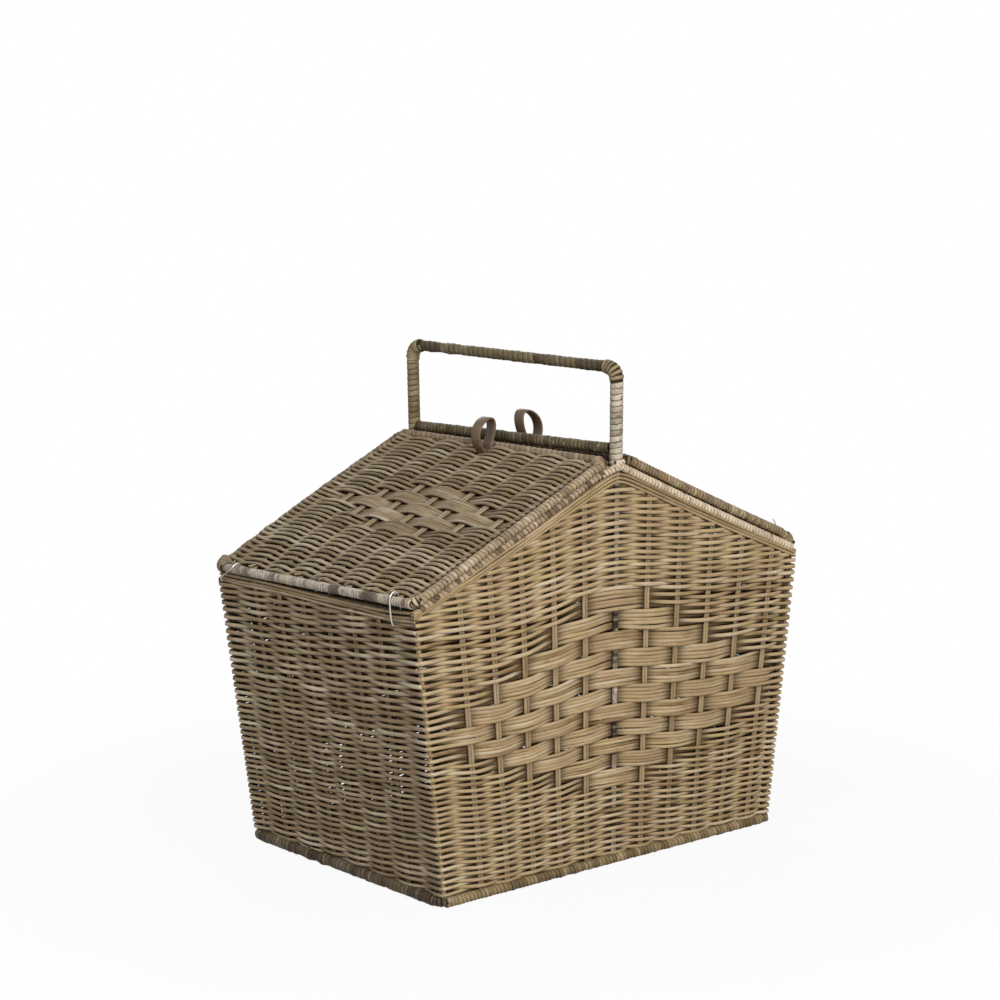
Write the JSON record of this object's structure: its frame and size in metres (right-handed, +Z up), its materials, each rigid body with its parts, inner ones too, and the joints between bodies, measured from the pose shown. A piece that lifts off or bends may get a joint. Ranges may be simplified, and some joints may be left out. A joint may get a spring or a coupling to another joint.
{
  "type": "picnic basket",
  "caption": "House-shaped woven rattan picnic basket with lids hinged at the eaves, leather pulls and a fixed wrapped carrying handle.",
  "frame": {"origin": "on the ground under the middle of the basket, at the bottom centre of the bounding box", "axes": "+X across the gables from the left lid to the right lid, +Y along the ridge from the front gable to the back gable, +Z up"},
  "size_m": [0.4812, 0.3118, 0.472],
  "materials": {
    "woven_rattan": "round grey-brown cane strands in plain weave",
    "wrapped_rim": "rods wrapped with pale peel strips and dark bark patches",
    "bare_strand": "smooth bare cane strands",
    "wrapped_handle": "thick rods wrapped with olive-brown peel strips",
    "leather": "dull brown strap leather",
    "wire": "thin pale wire"
  },
  "bodies": {
    "basket": {"back_base_rim": "wrapped_rim", "back_handle_corner": "wrapped_handle", "back_handle_post": "wrapped_handle", "back_left_corner_post": "bare_strand", "back_left_rake_rim": "wrapped_rim", "back_left_rake_trim": "bare_strand", "back_right_corner_post": "bare_strand", "back_right_rake_rim": "wrapped_rim", "back_right_rake_trim": "bare_strand", "back_wall": "woven_rattan", "floor_panel": "woven_rattan", "front_base_rim": "wrapped_rim", "front_handle_corner": "wrapped_handle", "front_handle_post": "wrapped_handle", "front_left_corner_post": "bare_strand", "front_left_rake_rim": "wrapped_rim", "front_left_rake_trim": "bare_strand", "front_right_corner_post": "bare_strand", "front_right_rake_rim": "wrapped_rim", "front_right_rake_trim": "bare_strand", "front_wall": "woven_rattan", "handle_bar": "wrapped_handle", "left_back_hinge_loop": "wire", "left_base_rim": "wrapped_rim", "left_eave_rim": "wrapped_rim", "left_eave_trim": "bare_strand", "left_front_hinge_loop": "wire", "left_wall": "woven_rattan", "ridge_bar": "wrapped_handle", "right_back_hinge_loop": "wire", "right_base_rim": "wrapped_rim", "right_eave_rim": "wrapped_rim", "right_eave_trim": "bare_strand", "right_front_hinge_loop": "wire", "right_wall": "woven_rattan"},
    "left_lid": {"left_lid_back_rake_rim": "wrapped_rim", "left_lid_eave_rim": "wrapped_rim", "left_lid_front_rake_rim": "wrapped_rim", "left_lid_panel": "woven_rattan", "left_lid_pull": "leather", "left_lid_ridge_rim": "wrapped_rim"},
    "right_lid": {"right_lid_back_rake_rim": "wrapped_rim", "right_lid_eave_rim": "wrapped_rim", "right_lid_front_rake_rim": "wrapped_rim", "right_lid_panel": "woven_rattan", "right_lid_pull": "leather", "right_lid_ridge_rim": "wrapped_rim"}
  },
  "joints": [
    {"name": "left_lid_hinge", "type": "hinge", "parent": "basket", "child": "left_lid", "pos_m": [-0.23433, 0, 0.277], "axis": [0, -1, 0], "range_deg": [0, 180]},
    {"name": "right_lid_hinge", "type": "hinge", "parent": "basket", "child": "right_lid", "pos_m": [0.23433, 0, 0.277], "axis": [0, 1, 0], "range_deg": [0, 180]}
  ]
}
